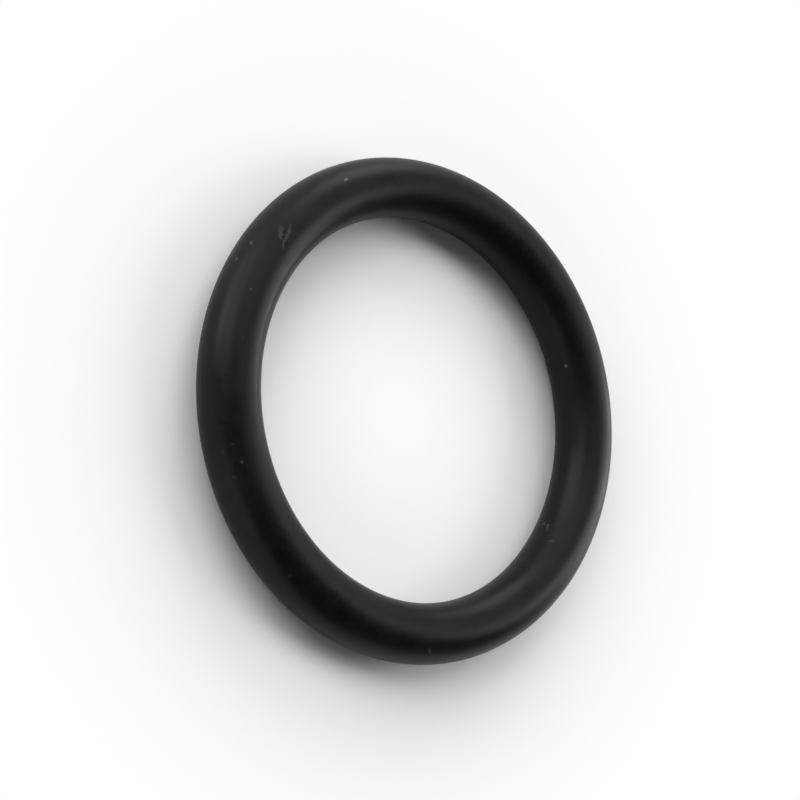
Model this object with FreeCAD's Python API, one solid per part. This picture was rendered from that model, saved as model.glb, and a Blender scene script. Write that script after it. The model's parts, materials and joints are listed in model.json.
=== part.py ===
"""A moulded rubber O-ring, in millimetres.

The ring lies flat. Its axis is Z, +Z is up, and the origin is the ring's centre, halfway up its section.
"""

import os

import FreeCAD
import Part
from FreeCAD import Vector

# Driving dimensions: a standard inch-size ring, 1 3/8 x 1 3/4 x 3/16 nominal
INSIDE_DIAMETER = 34.29
SECTION_DIAMETER = 5.33

# What the mould's two halves leave where they meet: a trimmed film of rubber round the inside and the outside
FLASH_HEIGHT = 0.04
FLASH_THICKNESS = 0.10

# Worked out from the sizes above
SECTION_RADIUS = SECTION_DIAMETER / 2
CENTRELINE_RADIUS = INSIDE_DIAMETER / 2 + SECTION_RADIUS


def in_section(across, up):
    """A point of the section's plane, measured from the section's centre: across is away from the ring's axis."""
    return Vector(CENTRELINE_RADIUS + across, 0, up)


def half_round(side):
    """The section's arc above the parting plane (side 1) or below it (side -1), between the two flash films."""
    film = side * FLASH_THICKNESS / 2
    foot = (SECTION_RADIUS**2 - film**2) ** 0.5
    return Part.Arc(in_section(foot, film), in_section(0, side * SECTION_RADIUS), in_section(-foot, film)).toShape()


def flash_film(side):
    """The edge of the flash on the outside (side 1) or the inside (side -1): two short steps and the trimmed crest."""
    film = FLASH_THICKNESS / 2
    foot = side * (SECTION_RADIUS**2 - film**2) ** 0.5
    crest = side * (SECTION_RADIUS + FLASH_HEIGHT)
    corners = [in_section(foot, film), in_section(crest, film), in_section(crest, -film), in_section(foot, -film)]
    return [Part.makeLine(a, b) for a, b in zip(corners, corners[1:])]


def o_ring():
    """The section turned once round the ring's axis, as one solid."""
    edges = [half_round(1), *flash_film(-1), half_round(-1), *flash_film(1)]
    section = Part.Face(Part.Wire(edges))
    return section.revolve(Vector(0, 0, 0), Vector(0, 0, 1), 360)


def save(name, shape):
    """Checks one sub-part and writes it to its own STEP file."""
    assert shape.isValid() and len(shape.Solids) == 1
    os.makedirs("parts", exist_ok=True)
    shape.Solids[0].exportStep(f"parts/{name}.step")
    box = shape.optimalBoundingBox()
    print(f"{name}: {box.XLength:.2f} x {box.YLength:.2f} x {box.ZLength:.2f} mm, {shape.Volume:.1f} mm3")


save("o_ring", o_ring())
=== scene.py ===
# %% [markdown]
# # A black rubber O-ring
#
# An O-ring is a seal: one ring of round section, pressed from black nitrile rubber in a mould of two
# halves. It has no parts and no pattern, so everything that makes it look real is small: an even,
# slightly oily shine, a few grains of dust, a nick from handling, and a hair of trimmed rubber where the
# two halves of the mould met.
#
# The ring was first built to size as a solid. This script keeps that size, makes a finer skin for it,
# gives the skin a rubber finish, and lights it on a pale table. All lengths below are in millimetres, and
# MM turns them into metres.

import json
import math

import bmesh
import bpy
import numpy as np
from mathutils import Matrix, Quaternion, Vector


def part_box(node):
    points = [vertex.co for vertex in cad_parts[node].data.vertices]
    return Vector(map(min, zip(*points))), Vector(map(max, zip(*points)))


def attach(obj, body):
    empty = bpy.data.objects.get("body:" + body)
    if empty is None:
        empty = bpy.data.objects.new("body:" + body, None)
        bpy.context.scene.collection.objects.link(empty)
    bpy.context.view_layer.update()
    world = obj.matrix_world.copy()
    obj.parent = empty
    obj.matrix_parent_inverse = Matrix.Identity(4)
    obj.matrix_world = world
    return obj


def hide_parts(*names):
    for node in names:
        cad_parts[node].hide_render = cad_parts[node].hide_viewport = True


MM = 0.001

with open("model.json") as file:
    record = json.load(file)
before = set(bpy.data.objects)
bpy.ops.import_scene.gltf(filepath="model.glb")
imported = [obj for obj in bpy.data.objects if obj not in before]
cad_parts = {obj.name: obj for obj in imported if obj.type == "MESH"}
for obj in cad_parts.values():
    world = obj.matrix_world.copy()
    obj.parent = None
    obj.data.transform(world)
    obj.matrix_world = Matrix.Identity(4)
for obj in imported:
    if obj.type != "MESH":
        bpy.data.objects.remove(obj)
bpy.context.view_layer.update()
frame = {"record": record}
solid_low, solid_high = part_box("o_ring")
print("the solid ring measures", [round(side / MM, 3) for side in solid_high - solid_low], "mm")

# %% [markdown]
# ## The camera
#
# The photograph was taken from close by, about 170 mm from the ring, looking down on it at some 51
# degrees. It could be matched by eye, but a ring is one of the few things for which it can be worked out:
# once its size is known, its two outlines in the picture allow only one place for the camera. These are
# the numbers that came out. The camera was held well away from level, so after it is aimed it is rolled
# about its own axis.

# %% Camera
CAMERA_AT = Vector((0.0, -106.972, 131.198)) * MM
CAMERA_AIM = Vector((-1.019, -1.861, 0.0)) * MM
CAMERA_ROLL = math.radians(77.592)
LENS = 86.34
SENSOR = 36.0
NEAREST = 10.0
FARTHEST = 10000.0


def add_camera():
    data = bpy.data.cameras.new("camera")
    data.lens = LENS
    data.sensor_width = SENSOR
    data.clip_start = NEAREST * MM
    data.clip_end = FARTHEST * MM
    camera = bpy.data.objects.new("camera", data)
    camera.location = CAMERA_AT
    aimed = (CAMERA_AIM - CAMERA_AT).to_track_quat("-Z", "Y")
    camera.rotation_mode = "QUATERNION"
    camera.rotation_quaternion = aimed @ Quaternion((0.0, 0.0, 1.0), CAMERA_ROLL)
    bpy.context.scene.collection.objects.link(camera)
    bpy.context.scene.camera = camera


add_camera()
print("the camera is", round(CAMERA_AT.length / MM, 1), "mm from the middle of the ring")

# %% [markdown]
# ## The sizes of the section
#
# The skin has to follow the solid closely, so its sizes are read from the solid's record and not written
# again: a flat flange would touch the ring on the circle at the top of its section, and that circle gives
# both radii. Only the trimmed film of rubber on the parting line is given here. On the solid it is a
# plain step. Trimming takes most of it away and the photograph shows none, so the skin has a lower ridge
# of the same width that comes and goes.

# %% Section
FILM_THICKNESS = 0.10
RIDGE_HEIGHT = 0.010

contact = next(mount for mount in frame["record"]["mounts"] if mount["name"] == "upper_face")
SECTION_RADIUS = contact["pos_m"][2] / MM
CENTRELINE_RADIUS = contact["dims"]["r_mm"]
print("section radius", round(SECTION_RADIUS, 3), "mm, centreline", round(CENTRELINE_RADIUS, 3), "mm")


def on_ring(around, over, lift=0.0):
    """Points in millimetres, from the angles round the ring and over its section, both in radians.

    The second angle is 0 on the outer edge, a quarter turn on top, and a half turn on the inner edge.
    """
    reach = SECTION_RADIUS + lift
    out = CENTRELINE_RADIUS + reach * np.cos(over)
    return np.stack([out * np.cos(around), out * np.sin(around), reach * np.sin(over)], -1)


# %% [markdown]
# ## The marks of handling
#
# Two marks are deep enough to change the shape: a forked scuff, where something sharp has dragged and
# torn the skin, and a short tick a third of the way round from it. The scuff is two strokes and the tick
# is one, and a stroke is a row of points: its angle round the ring, its angle over the section, both in
# degrees, its half width in millimetres, and how torn the skin is there. The dragged rubber piles up in a
# low lip on both sides of a stroke. Its place is given in half widths from the middle of the stroke. In
# and beside the scuff are four small dents, each with its two angles, its radius and its depth.
#
# The marks could be painted only, as bump. They are cut into the mesh instead, so that they are part of
# its shape, and the mesh is made fine just where they are.

# %% Strokes
RIGHT_ARM_AND_STEM = [
    (213.6, 70.0, 0.09, 0.3),
    (214.8, 75.1, 0.11, 0.6),
    (215.2, 77.2, 0.13, 1.0),
    (216.0, 78.7, 0.12, 0.8),
    (216.7, 79.8, 0.14, 1.0),
    (217.3, 80.1, 0.12, 0.8),
    (218.1, 79.8, 0.11, 0.6),
    (218.8, 82.6, 0.12, 0.9),
    (219.4, 84.8, 0.11, 0.6),
    (219.9, 86.4, 0.08, 0.4),
]
LEFT_ARM = [
    (215.2, 58.1, 0.16, 0.1),
    (216.0, 62.6, 0.18, 0.4),
    (216.8, 66.8, 0.17, 0.8),
    (217.5, 69.7, 0.15, 1.0),
    (218.1, 71.5, 0.12, 0.8),
    (218.6, 73.6, 0.09, 0.1),
]
TICK = [(343.1, 59.2, 0.09, 0.4), (343.6, 52.0, 0.14, 0.8), (344.1, 45.3, 0.09, 0.4)]
STROKES = [RIGHT_ARM_AND_STEM, LEFT_ARM, TICK]
STROKE_DEPTH = 0.022
LIP_HEIGHT = 0.010
LIP_PLACE = 1.7
LIP_SHARPNESS = 3.0

DENTS = [
    (216.7, 72.2, 0.12, 0.09),
    (217.7, 77.2, 0.14, 0.11),
    (219.4, 78.8, 0.18, 0.03),
    (218.9, 85.8, 0.14, 0.05),
]


def over_skin(around, over, middle_deg):
    """The two angles as millimetres over the skin, near enough for a mark a millimetre or two long."""
    reach = CENTRELINE_RADIUS + SECTION_RADIUS * math.cos(math.radians(middle_deg))
    return np.stack([around * reach, over * SECTION_RADIUS], -1)


def marks(around, over):
    """How far the marks lift the skin at each point, in millimetres, and how torn it is, from 0 to 1."""
    off = np.full(around.shape, np.inf)
    strength = np.zeros(around.shape)
    for stroke in STROKES:
        middle = np.mean([row[1] for row in stroke])
        here = over_skin(around, over, middle)
        for (a1, o1, wide_1, torn_1), (a2, o2, wide_2, torn_2) in zip(stroke[:-1], stroke[1:]):
            start, end = over_skin(np.radians([a1, a2]), np.radians([o1, o2]), middle)
            run = end - start
            share = np.clip(((here - start) @ run) / (run @ run), 0, 1)
            away = np.linalg.norm(here - start - share[..., None] * run, axis=-1)
            off_here = away / (wide_1 + share * (wide_2 - wide_1))
            strength = np.where(off_here < off, torn_1 + share * (torn_2 - torn_1), strength)
            off = np.minimum(off, off_here)
    torn = strength * np.exp(-(off**2))
    lift = LIP_HEIGHT * np.exp(-LIP_SHARPNESS * (off - LIP_PLACE) ** 2) - STROKE_DEPTH * torn
    for around_deg, over_deg, radius, depth in DENTS:
        offset = over_skin(around - math.radians(around_deg), over - math.radians(over_deg), over_deg)
        lift -= depth * np.exp(-((np.linalg.norm(offset, axis=-1) / radius) ** 2))
    return lift, torn


print(len(STROKES), "strokes and", len(DENTS), "dents")

# %% [markdown]
# ## The skin of the ring
#
# A torus primitive would give a ring in one call, but with even squares all over and no parting line.
# Here the ring is a grid of corners instead: a list of angles round the ring, crossed with a list of
# angles over its section. Both lists have wide steps in general and narrow ones at a mark, and beside a
# mark the steps grow by a quarter of the distance from it. The second list has extra lines beside the
# ridge, which are given in shares of the ridge's half width. Every face is then a quad, and the fine ones
# are only where they are needed.

# %% Angles of the grid
WIDE_ROUND = 0.9
WIDE_OVER = 3.0
FINE_ROUND = 0.13
FINE_OVER = 1.1
GROWTH = 0.25

FINE_SPANS_ROUND = [(212.6, 221.2), (342.9, 345.0)]
FINE_SPANS_OVER = [(38.5, 88.5)]

RIDGE_LINES = (0.0, 0.35, 0.7, 1.0, 1.4, 2.2)
RIDGE_CLEAR = 3.4


def stops(start, end, wide, fine, spans):
    """Angles from start to end in degrees, wide steps apart, and fine ones inside the spans."""
    found = [start]
    while found[-1] < end:
        gap = min([max(low - found[-1], found[-1] - high, 0.0) for low, high in spans], default=math.inf)
        found.append(found[-1] + min(wide, fine + GROWTH * gap))
    found = np.array(found)
    return start + (found - start) * (end - start) / (found[-1] - start)


edge = math.degrees(math.asin(FILM_THICKNESS / 2 / SECTION_RADIUS))
beside_ridge = [share * edge for share in RIDGE_LINES]
clear = RIDGE_CLEAR * edge
upper = stops(clear, 180 - clear, WIDE_OVER, FINE_OVER, FINE_SPANS_OVER)
lower = stops(180 + clear, 360 - clear, WIDE_OVER, WIDE_OVER, [])
degrees_over = np.concatenate([
    beside_ridge,
    upper,
    [180 - a for a in reversed(beside_ridge)],
    [180 + a for a in beside_ridge[1:]],
    lower,
    [360 - a for a in reversed(beside_ridge[1:])],
])
degrees_round = stops(0.0, 360.0, WIDE_ROUND, FINE_ROUND, FINE_SPANS_ROUND)[:-1]
print(len(degrees_round), "steps round the ring,", len(degrees_over), "over its section")

# %% [markdown]
# A moulded ring is never as true as its drawing. Once out of the mould the rubber shrinks a little
# unevenly, and the section swims by a few thousandths of a millimetre. That is far too small to feel, but
# a shiny surface shows it: the edges of the reflections waver. A few sine waves of different lengths do
# this well. They only ever sink the skin, so it stays inside the solid, apart from the lips of the marks,
# which stand a few thousandths of a millimetre above it. Each wave is given by its turns round the ring,
# its bends over the section and its phase.
#
# The ridge on the parting line has a flat top and sloping sides. What the wear has left of its height is
# a share that two more waves raise and lower round the ring: their turns, their shares and their phases.

# %% Unevenness of the moulding
SINK = 0.004
WAVES = [(5, 1, 0.4), (11, -2, 2.1), (17, 3, 4.4), (29, -1, 1.3), (41, 2, 5.2)]

RIDGE_SLOPE = 1.3
RIDGE_LEFT = 0.55
RIDGE_WEAR = [(13, 0.25, 0.8), (31, 0.2, 2.9)]


def sunk(around, over):
    total = sum(np.sin(turns * around + bends * over + phase) for turns, bends, phase in WAVES)
    return -SINK * (1 + total / len(WAVES))


def ridge(around, over):
    """The trimmed film on the parting line, as a lift that comes and goes round the ring."""
    up = SECTION_RADIUS * np.abs(np.sin(over))
    shape = np.clip(RIDGE_SLOPE - RIDGE_SLOPE * up / (FILM_THICKNESS / 2), 0, 1)
    wear = (share * np.sin(turns * around + phase) for turns, share, phase in RIDGE_WEAR)
    return RIDGE_HEIGHT * shape * sum(wear, RIDGE_LEFT)


around, over = np.meshgrid(np.radians(degrees_round), np.radians(degrees_over), indexing="ij")
mark_lift, torn = marks(around, over)
lift = sunk(around, over) + ridge(around, over) + mark_lift
corners = on_ring(around, over, lift)
print("the skin is lifted by", round(lift.min(), 4), "to", round(lift.max(), 4), "mm")

# %% [markdown]
# The grid is sewn into a mesh with bmesh: one vertex to each corner, and one face to each four. The last
# column joins the first, both ways round, so there is no open edge. Two things are written on it for
# later: how torn the skin is at each vertex, which the finish reads, and a flat map of three straight
# strips, for whoever paints or bakes it. On the map MARGIN is the free edge round a strip, and ROUNDING
# keeps a corner that lies on a cut in the strip that begins there.

# %% Mesh
STRIPS = 3
MARGIN = 0.004
ROUNDING = 1e-6

inner_edge = int(np.argmin(np.abs(degrees_over - 180)))
share_round = np.append(degrees_round, 360.0) / 360
share_over = np.append(np.roll(degrees_over - 180, -inner_edge) % 360, 360.0) / 360


def on_map(i, j, strip):
    """The place of a corner on the flat map, where the ring is cut into strips that lie side by side."""
    along = np.clip(share_round[i] * STRIPS - strip, 0, 1)
    return (
        strip / STRIPS + MARGIN + share_over[j] * (1 / STRIPS - 2 * MARGIN),
        MARGIN + along * (1 - 2 * MARGIN),
    )


def sew_ring(name, corners, torn):
    rounds, overs = corners.shape[:2]
    corners = np.roll(corners, -inner_edge, axis=1) * MM
    torn = np.roll(torn, -inner_edge, axis=1)
    work = bmesh.new()
    tear = work.verts.layers.float.new("torn")
    flat = work.loops.layers.uv.new("OFBake")
    grid = [[work.verts.new(corner) for corner in row] for row in corners]
    for row, tears in zip(grid, torn):
        for vertex, amount in zip(row, tears):
            vertex[tear] = float(amount)
    for i in range(rounds):
        strip = min(int(share_round[i] * STRIPS + ROUNDING), STRIPS - 1)
        for j in range(overs):
            places = ((i, j), (i + 1, j), (i + 1, j + 1), (i, j + 1))
            face = work.faces.new([grid[a % rounds][b % overs] for a, b in places])
            face.smooth = True
            for loop, (a, b) in zip(face.loops, places):
                loop[flat].uv = on_map(a, b, strip)
    mesh = bpy.data.meshes.new(name)
    work.to_mesh(mesh)
    work.free()
    ring = bpy.data.objects.new(name, mesh)
    bpy.context.scene.collection.objects.link(ring)
    return ring


ring = sew_ring("rubber_ring", corners, torn)
print("the ring has", len(ring.data.vertices), "vertices and", 2 * len(ring.data.polygons), "triangles")

# %% [markdown]
# ## Sums on sockets
#
# The finish of the rubber is worked out at every point by shader nodes. Placed one by one, nodes are hard
# to read, so a small class wraps an output socket, and sums written on it in Python add the Math nodes
# that do them. Every other node, such as a noise or a colour mix, comes from its method `node`, which
# takes the node's type, its settings and its inputs. The other methods are short forms of it.

# %% Class for sums on sockets
class Wire:
    """An output socket of a node tree, which can be used in sums."""

    def __init__(self, tree, socket=None):
        self.tree = tree
        self.socket = socket

    def node(self, kind, settings=None, inputs=None, output=0):
        """Adds a node, with its settings first and then a value or a wire for each input.

        Returns the wire of one output, if the node has any.
        """
        made = self.tree.nodes.new(kind)
        for name, value in (settings or {}).items():
            setattr(made, name, value)
        for name, value in (inputs or {}).items():
            if isinstance(value, Wire):
                self.tree.links.new(value.socket, made.inputs[name])
            else:
                made.inputs[name].default_value = value
        if made.outputs:
            return Wire(self.tree, made.outputs[output])

    def other(self, output):
        """The wire of another output of the same node."""
        return Wire(self.tree, self.socket.node.outputs[output])

    def math(self, operation, *values):
        return self.node("ShaderNodeMath", {"operation": operation}, dict(enumerate(values)))

    def __add__(self, other):
        return self.math("ADD", self, other)

    def __radd__(self, other):
        return self.math("ADD", other, self)

    def __sub__(self, other):
        return self.math("SUBTRACT", self, other)

    def __rsub__(self, other):
        return self.math("SUBTRACT", other, self)

    def __mul__(self, other):
        return self.math("MULTIPLY", self, other)

    def __rmul__(self, other):
        return self.math("MULTIPLY", other, self)

    def larger(self, other):
        return self.math("MAXIMUM", self, other)

    def between(self, low, high):
        """0 at low and 1 at high, eased between them and steady beyond. Low may be the larger."""
        inputs = {"Value": self, "From Min": low, "From Max": high, "To Min": 0.0, "To Max": 1.0}
        return self.node("ShaderNodeMapRange", {"interpolation_type": "SMOOTHSTEP"}, inputs)

    def mixed(self, low, high):
        """A value that goes from low where this is 0 to high where it is 1."""
        return self * (high - low) + low


def new_material(name):
    """An empty material, and the wire that its nodes are started from."""
    material = bpy.data.materials.new(name)
    material.use_nodes = True
    material.node_tree.nodes.clear()
    return material, Wire(material.node_tree)


print("sums on sockets are ready")

# %% [markdown]
# ## Black rubber
#
# Black nitrile rubber is dark because it is about a third soot. What little light comes back is of two
# kinds: a trace of grey from the soot, and the shine of the smooth skin that the polished mould left. The
# shine is what shows the form. It is soft at the edges, weaker than on paint, and a little patchy,
# because the plasticiser that sweats out of the rubber leaves a thin uneven film.
#
# So the colour is near black with a faint cool cast, and its variation is small. First come the
# coordinates: the place on the skin in millimetres, and the angle over the section, which the mould's
# turning marks follow.

# %% Places on the rubber
rubber, start = new_material("black_rubber")

place = start.node("ShaderNodeVectorMath", {"operation": "SCALE"}, {
    "Vector": start.node("ShaderNodeTexCoord", output="Object"),
    "Scale": 1 / MM,
})
x_mm = start.node("ShaderNodeSeparateXYZ", None, {"Vector": place})
y_mm = x_mm.other("Y")
z_mm = x_mm.other("Z")
from_axis = start.math("SQRT", x_mm * x_mm + y_mm * y_mm)
angle_over = start.math("ARCTAN2", z_mm, from_axis - CENTRELINE_RADIUS)
angle_round = start.math("ARCTAN2", y_mm, x_mm)


def noise(size, seed, detail=2.0, at=None):
    """Soft noise from 0 to 1 whose blobs are about size millimetres across."""
    inputs = {
        "Vector": at or place,
        "W": seed,
        "Scale": 1 / size,
        "Detail": detail,
    }
    return start.node("ShaderNodeTexNoise", {"noise_dimensions": "4D"}, inputs, "Fac")


print("places on the rubber:", len(rubber.node_tree.nodes), "nodes")

# %% [markdown]
# ### The film that sweats out of the rubber
#
# Three noises make the film: one with blobs a few millimetres across, one with blobs of about a
# millimetre, and a fine one. Where the film is thick, the rubber is a trace greyer and the shine a trace
# blurrier. A contrast is the two values of a noise at which its blobs start and are full. The turning
# marks of the mould are the same noise stretched along the ring, so that a blob is about 3.3 mm long and
# 0.4 mm wide.

# %% Film and turning marks
FILM_BLOB = 3.5
FILM_CONTRAST = (0.32, 0.72)
MOTTLE_BLOB = 0.9
MOTTLE_CONTRAST = (0.3, 0.7)
GRAIN_BLOB = 0.28
BLOBS_PER_RADIAN = 6.0
BLOBS_PER_MM = 2.5

film = noise(FILM_BLOB, seed=1.7, detail=3.0).between(*FILM_CONTRAST)
mottle = noise(MOTTLE_BLOB, seed=4.2).between(*MOTTLE_CONTRAST)
grain = noise(GRAIN_BLOB, seed=7.9, detail=1.0)

stretched = start.node("ShaderNodeCombineXYZ", None, {
    "X": start.math("COSINE", angle_round) * BLOBS_PER_RADIAN,
    "Y": start.math("SINE", angle_round) * BLOBS_PER_RADIAN,
    "Z": angle_over * SECTION_RADIUS * BLOBS_PER_MM,
})
turning = noise(1.0, seed=2.6, at=stretched)
print("film and turning marks:", len(rubber.node_tree.nodes), "nodes")

# %% [markdown]
# ### Dust
#
# Dust shows on black rubber more than anything else does. The photograph has about a dozen grains that
# can be told apart, so each is put where it is: the angles as for the strokes, its radius in millimetres,
# and how pale it is. Long ones are two to four grains that touch. The fine noise makes their edges
# ragged, and a grain is palest within a quarter of its radius.
#
# A finer dust, hardly to be seen, lies everywhere and comes from a cell pattern: a dot in each cell, kept
# in only a few of the cells. The size of a cell is in millimetres, and that of its dot in cells.

# %% Dust
GRAINS = [
    (192.2, 63.5, 0.15, 0.60),
    (192.8, 64.7, 0.18, 0.90),
    (193.3, 66.5, 0.13, 0.30),
    (222.4, 30.3, 0.21, 0.24),
    (222.8, 31.0, 0.21, 0.24),
    (227.3, 18.7, 0.25, 0.24),
    (233.5, 68.5, 0.20, 0.14),
    (273.6, 62.4, 0.21, 0.20),
    (269.3, 54.3, 0.18, 0.12),
    (270.5, 34.1, 0.26, 0.05),
    (276.2, 41.9, 0.24, 0.05),
    (301.3, 47.8, 0.20, 0.09),
    (93.2, 152.3, 0.24, 0.48),
    (41.9, 174.4, 0.21, 0.24),
    (41.4, 162.5, 0.17, 0.32),
    (40.5, 161.1, 0.17, 0.28),
    (39.5, 159.0, 0.15, 0.16),
    (36.2, 141.9, 0.16, 0.10),
    (36.4, 139.6, 0.17, 0.14),
    (36.6, 137.0, 0.17, 0.14),
    (36.8, 134.0, 0.16, 0.10),
]
RAGGED = 0.12
PALEST_WITHIN = 0.25

CELL = 1.7
DOT_EDGE = 0.09
DOT_MIDDLE = 0.02
KEPT_FROM = 0.75
KEPT_FULLY = 0.95
FINE_DUST_PALE = 0.08


def grains_of_dust():
    dust = None
    for around_deg, over_deg, radius, strength in GRAINS:
        centre = on_ring(np.radians(around_deg), np.radians(over_deg))
        points = {0: place, 1: tuple(centre)}
        away = start.node("ShaderNodeVectorMath", {"operation": "DISTANCE"}, points, "Value")
        one = (away + (grain - 0.5) * RAGGED).between(radius, radius * PALEST_WITHIN) * strength
        dust = one if dust is None else dust.larger(one)
    return dust


dust = grains_of_dust()

from_dot = start.node("ShaderNodeTexVoronoi", {"feature": "F1"}, {
    "Vector": place,
    "Scale": 1 / CELL,
    "Randomness": 1.0,
})
cell_kind = start.node("ShaderNodeSeparateColor", None, {"Color": from_dot.other("Color")})
kept = cell_kind.between(KEPT_FROM, KEPT_FULLY)
fine_dust = from_dot.between(DOT_EDGE, DOT_MIDDLE) * kept * FINE_DUST_PALE
print(len(GRAINS), "grains of dust;", len(rubber.node_tree.nodes), "nodes")

# %% [markdown]
# ### Colour, shine and fine relief
#
# Now the parts meet. Colour mixes from the rubber's black through the greyer film to the pale dust and
# the torn rubber of the scuff. Roughness is low on the bare skin and high on dust and torn rubber. The
# relief of the skin is about a micrometre deep: it breaks the shine up slightly and can't be seen as
# bumps. A pale grain of dust stands up by about a hundredth of a millimetre.

# %% Rubber shader
BLACK = (0.0027, 0.0027, 0.0027, 1.0)
FILMED = (0.0080, 0.0081, 0.0082, 1.0)
TORN = (0.055, 0.055, 0.055, 1.0)
DUST = (0.165, 0.160, 0.150, 1.0)

SHINE = 0.14
BARE_ROUGHNESS = 0.31
FILMED_ROUGHNESS = 0.49
DULL_ROUGHNESS = 0.75

TORN_CONTRAST = (0.4, 1.4)
GRAIN_CONTRAST = (0.25, 0.75)
FILM_SHARE, MOTTLE_SHARE, GRAIN_SHARE = 0.45, 0.25, 0.30
ROUGH_FROM_FILM, ROUGH_FROM_TURNING = 0.7, 0.3

RELIEF_DEPTH = 0.0012
GRAIN_RELIEF, TURNING_RELIEF, MOTTLE_RELIEF, DUST_RELIEF = 0.8, 0.5, 0.5, 12.0


def mix_colours(share, low, high):
    inputs = {"Factor": share, 6: low, 7: high}
    return start.node("ShaderNodeMix", {"data_type": "RGBA"}, inputs, 2)


torn_here = start.node("ShaderNodeAttribute", {"attribute_name": "torn"}, None, "Fac")
torn_here = torn_here * grain.mixed(*TORN_CONTRAST)
filmed = film * FILM_SHARE + mottle * MOTTLE_SHARE + grain.between(*GRAIN_CONTRAST) * GRAIN_SHARE
all_dust = dust.larger(fine_dust)

colour = mix_colours(filmed, BLACK, FILMED)
colour = mix_colours(torn_here, colour, TORN)
colour = mix_colours(all_dust, colour, DUST)

dull = torn_here.larger(all_dust)
patchy = filmed * ROUGH_FROM_FILM + turning * ROUGH_FROM_TURNING
roughness = patchy.mixed(BARE_ROUGHNESS, FILMED_ROUGHNESS) + dull * (DULL_ROUGHNESS - BARE_ROUGHNESS)

relief = grain * GRAIN_RELIEF + turning * TURNING_RELIEF + mottle * MOTTLE_RELIEF + all_dust * DUST_RELIEF
bump_inputs = {"Strength": 1.0, "Distance": RELIEF_DEPTH * MM, "Height": relief}
normal = start.node("ShaderNodeBump", None, bump_inputs)

shader = start.node("ShaderNodeBsdfPrincipled", None, {
    "Base Color": colour,
    "Roughness": roughness,
    "Normal": normal,
    "IOR": 1.5,
    "Specular IOR Level": SHINE,
})
start.node("ShaderNodeOutputMaterial", None, {"Surface": shader})
ring.data.materials.append(rubber)
print("black rubber:", len(rubber.node_tree.nodes), "nodes")

# %% [markdown]
# ## Where the ring belongs
#
# The skin stands for the solid ring, so the solid is hidden, and it rides on the part's only body.

# %% Ties to the solid
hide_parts("o_ring")
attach(ring, "root")

# %% [markdown]
# ## Table
#
# The ring lies on a plain, nearly white table. It is matt, so that only its colour and the ring's soft
# shadow show. The photograph's background is plain white, which no lit table quite reaches without being
# over-lit. So only the part of the table close to the ring, inside and outside it, is shown as it is lit,
# with the shadow on it. Further off it goes over into plain white, for the camera and for whatever
# mirrors it, while the diffuse light that it sends to the ring stays as it is. It is shown as lit up to
# LIT_TO and is plain white from WHITE_FROM, both measured from the circle in the middle of the section,
# and WHITE is the strength of that white. The table ends in a low rim, which hides the dark room behind
# it in views from low down.

# %% Table
TABLE_RADIUS = 1400.0
RIM_HEIGHT = 160.0
TABLE_CIRCLES = (60.0, 200.0, 600.0, TABLE_RADIUS)
RIM_STEPS = 9
SIDES = 96

TABLE_PALE = (0.955, 0.93, 0.906, 1.0)
LIT_TO = 1.0
WHITE_FROM = 24.0
WHITE = 1.0


def add_table():
    level = -SECTION_RADIUS
    profile = [(radius, level) for radius in TABLE_CIRCLES]
    for step in range(1, RIM_STEPS + 1):
        turn = math.radians(90 * step / RIM_STEPS)
        out = TABLE_RADIUS + RIM_HEIGHT * math.sin(turn)
        up = level + RIM_HEIGHT * (1 - math.cos(turn))
        profile.append((out, up))
    turns = [2 * math.pi * k / SIDES for k in range(SIDES)]
    work = bmesh.new()
    rings = []
    for out, up in profile:
        circle = [(out * math.cos(t) * MM, out * math.sin(t) * MM, up * MM) for t in turns]
        rings.append([work.verts.new(corner) for corner in circle])
    work.faces.new(rings[0])
    for inner, outer in zip(rings[:-1], rings[1:]):
        for k in range(SIDES):
            k2 = (k + 1) % SIDES
            work.faces.new((inner[k], outer[k], outer[k2], inner[k2])).smooth = True
    mesh = bpy.data.meshes.new("table")
    work.to_mesh(mesh)
    work.free()
    table = bpy.data.objects.new("table", mesh)
    bpy.context.scene.collection.objects.link(table)
    return table


table = add_table()
matt, start_matt = new_material("matt_white")
lit = start_matt.node("ShaderNodeBsdfDiffuse", None, {"Color": TABLE_PALE})
plain = start_matt.node("ShaderNodeEmission", None, {"Color": (1.0, 1.0, 1.0, 1.0), "Strength": WHITE})
ray = start_matt.node("ShaderNodeLightPath", output="Is Camera Ray")
seen = ray.larger(ray.other("Is Glossy Ray")).larger(ray.other("Is Transmission Ray"))
table_place = start_matt.node("ShaderNodeTexCoord", output="Object")
from_middle = start_matt.node("ShaderNodeVectorMath", {"operation": "LENGTH"}, {0: table_place}, "Value")
from_ring = start_matt.math("ABSOLUTE", from_middle - CENTRELINE_RADIUS * MM)
far = from_ring.between(LIT_TO * MM, WHITE_FROM * MM)
table_shader = start_matt.node("ShaderNodeMixShader", None, {0: seen * far, 1: lit, 2: plain})
start_matt.node("ShaderNodeOutputMaterial", None, {"Surface": table_shader})
table.data.materials.append(matt)
print("the table lies at", round(-SECTION_RADIUS, 3), "mm; plain white from", WHITE_FROM, "mm outwards")

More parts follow.
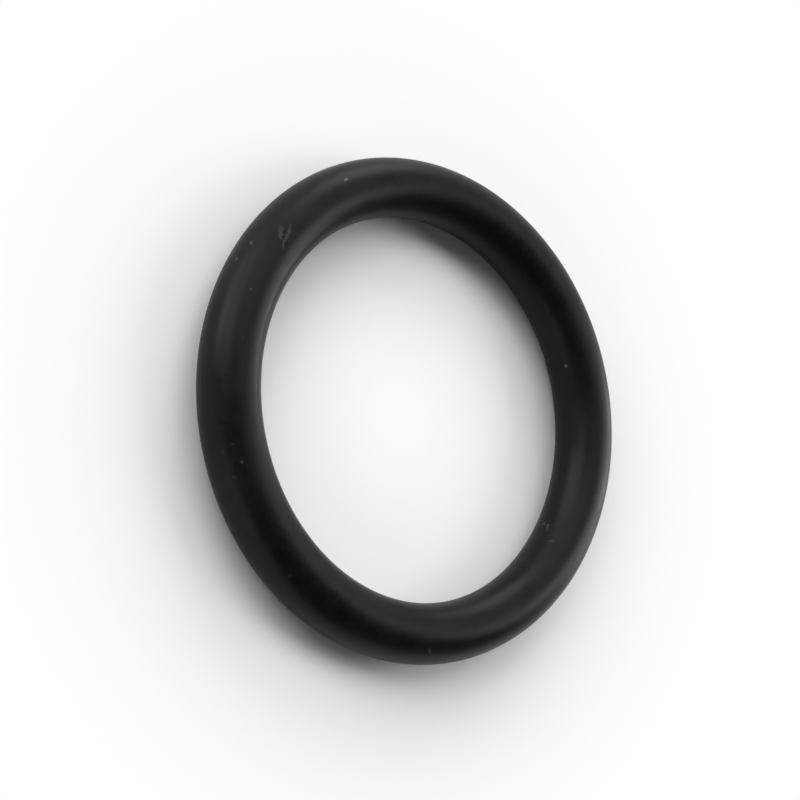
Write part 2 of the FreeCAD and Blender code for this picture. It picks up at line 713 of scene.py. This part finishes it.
# %% [markdown]
# ## Light
#
# On a black shiny ring, light is seen almost only as reflections, so each lamp is a shape that the ring
# shows. All lamps are large soft boxes, a metre away and side by side, as the cloth walls of a light tent
# would be. For someone who stands at the camera, they are behind the ring and on its left and front left,
# with one more low down on the camera's own side. The right stays dark. Each lamp is given by its
# direction from the ring, which is an azimuth and an elevation in degrees, by its width and height, and
# by its power in watts.

# %% Lamps
LAMPS = [
    ("behind", 73.0, 35.0, 480.0, 460.0, 2.9),
    ("behind_low", 77.0, 7.5, 480.0, 380.0, 2.45),
    ("behind_high", 113.0, 59.0, 600.0, 700.0, 1.5),
    ("behind_left", 109.0, 20.0, 650.0, 550.0, 0.86),
    ("left", 148.0, 21.0, 600.0, 600.0, 4.2),
    ("left_high", 171.0, 60.0, 640.0, 650.0, 2.1),
    ("front_left", 188.5, 21.0, 500.0, 640.0, 1.45),
    ("front", 214.7, 37.0, 680.0, 580.0, 3.6),
    ("front_low", 218.0, 8.5, 580.0, 400.0, 3.45),
    ("near", 289.0, 16.0, 1080.0, 470.0, 1.6),
]
LAMP_DISTANCE = 1000.0
LAMP_TINT = (0.975, 1.0, 1.03)
DIM_ROOM = 0.01


def add_lamp(name, azimuth, elevation, width, height, watts):
    data = bpy.data.lights.new(name, "AREA")
    data.shape = "ELLIPSE"
    data.size = width * MM
    data.size_y = height * MM
    data.energy = watts
    data.color = LAMP_TINT
    lamp = bpy.data.objects.new(name, data)
    lamp.visible_camera = False
    turn, rise = math.radians(azimuth), math.radians(elevation)
    towards = Vector((math.cos(turn) * math.cos(rise), math.sin(turn) * math.cos(rise), math.sin(rise)))
    lamp.location = towards * LAMP_DISTANCE * MM
    lamp.rotation_mode = "QUATERNION"
    lamp.rotation_quaternion = (-towards).to_track_quat("-Z", "Y")
    bpy.context.scene.collection.objects.link(lamp)


for row in LAMPS:
    add_lamp(*row)

world = bpy.data.worlds.new("room")
bpy.context.scene.world = world
world.use_nodes = True
room = world.node_tree.nodes["Background"]
room.inputs["Color"].default_value = (1.0, 1.0, 1.0, 1.0)
room.inputs["Strength"].default_value = DIM_ROOM
print(len(LAMPS), "lamps")

# %% [markdown]
# ## Last settings
#
# The picture is shown in plain standard colours.

# %% Finish
bpy.context.scene.view_settings.view_transform = "Standard"
